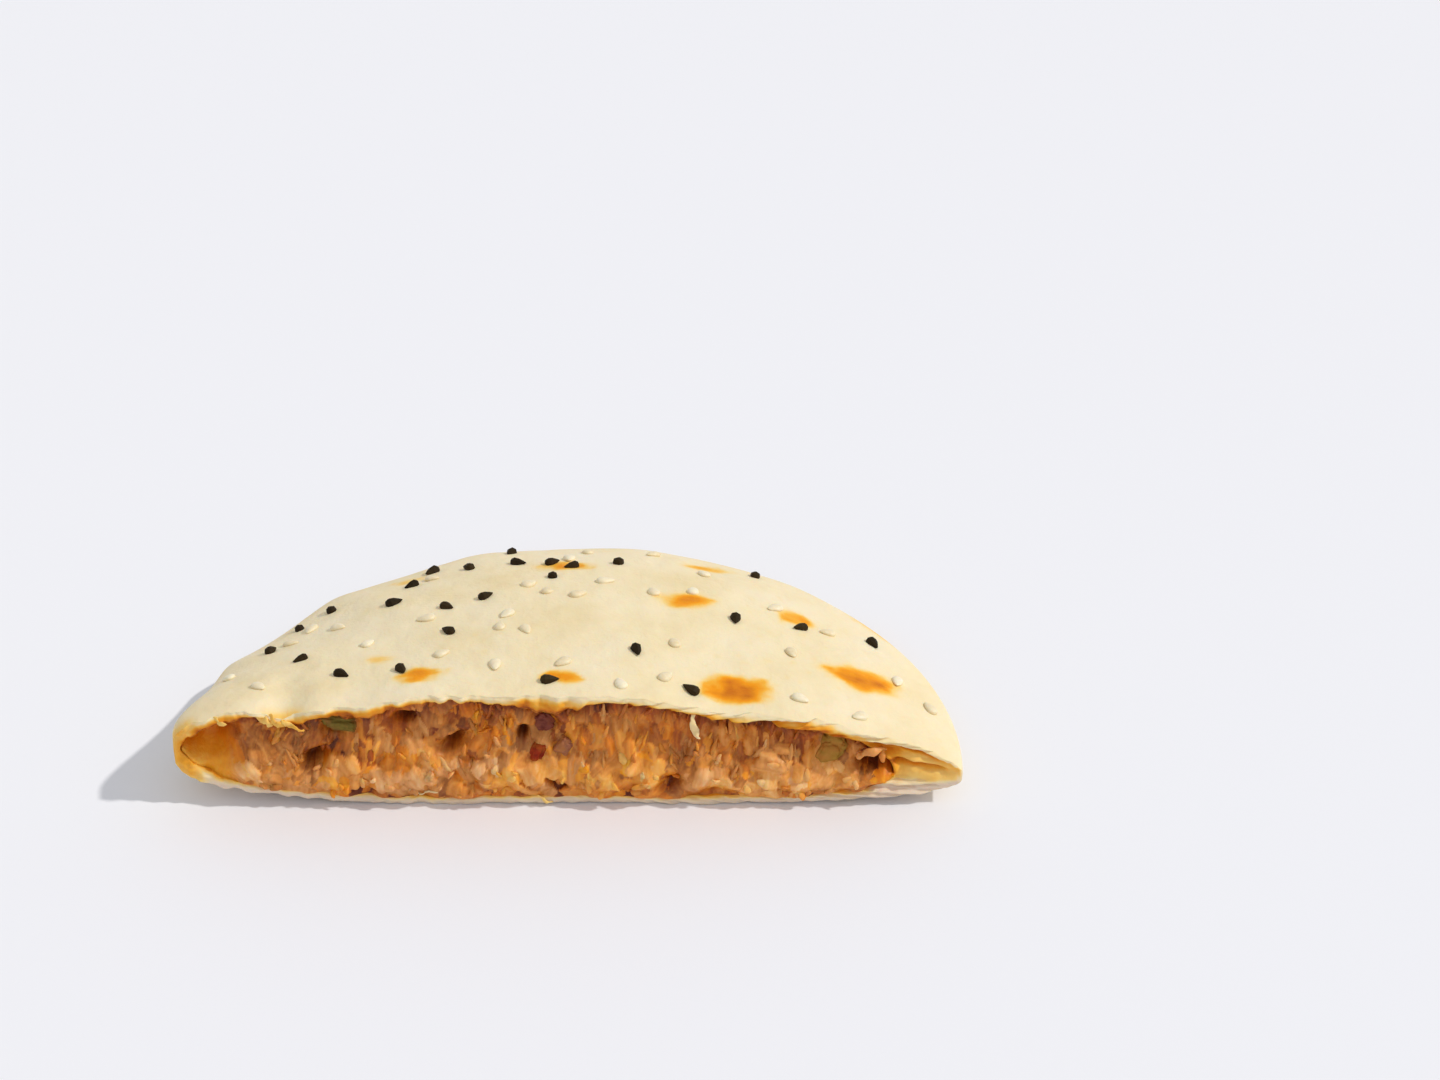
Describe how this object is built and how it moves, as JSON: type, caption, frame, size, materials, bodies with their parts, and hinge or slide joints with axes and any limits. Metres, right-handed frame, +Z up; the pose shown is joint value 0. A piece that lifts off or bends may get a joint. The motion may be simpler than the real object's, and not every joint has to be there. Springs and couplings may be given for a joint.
{
  "type": "tuna pastry",
  "caption": "Half of a round stuffed tuna pastry, cut straight through: thin pale seeded crust round a shredded orange-brown filling with vegetable bits.",
  "frame": {"origin": "middle of the bounding box's underside, on the surface that the half rests on", "axes": "+Z up; +X along the cut, to the right of a viewer who faces the cut; the cut faces -Y and the round side +Y"},
  "size_m": [0.149, 0.0796, 0.0258],
  "materials": {
    "crust": "matt baked dough with seeds and toasted spots",
    "filling": "moist shredded tuna in orange sauce",
    "green_pepper": "moist cooked pepper",
    "onion": "moist cooked onion",
    "red_pepper": "moist cooked pepper"
  },
  "bodies": {
    "root": {"crust": "crust", "filling": "filling", "green_pepper_left": "green_pepper", "green_pepper_right": "green_pepper", "onion_piece_upper": "onion", "onion_piece_lower": "onion", "red_pepper_piece": "red_pepper"}
  },
  "joints": []
}
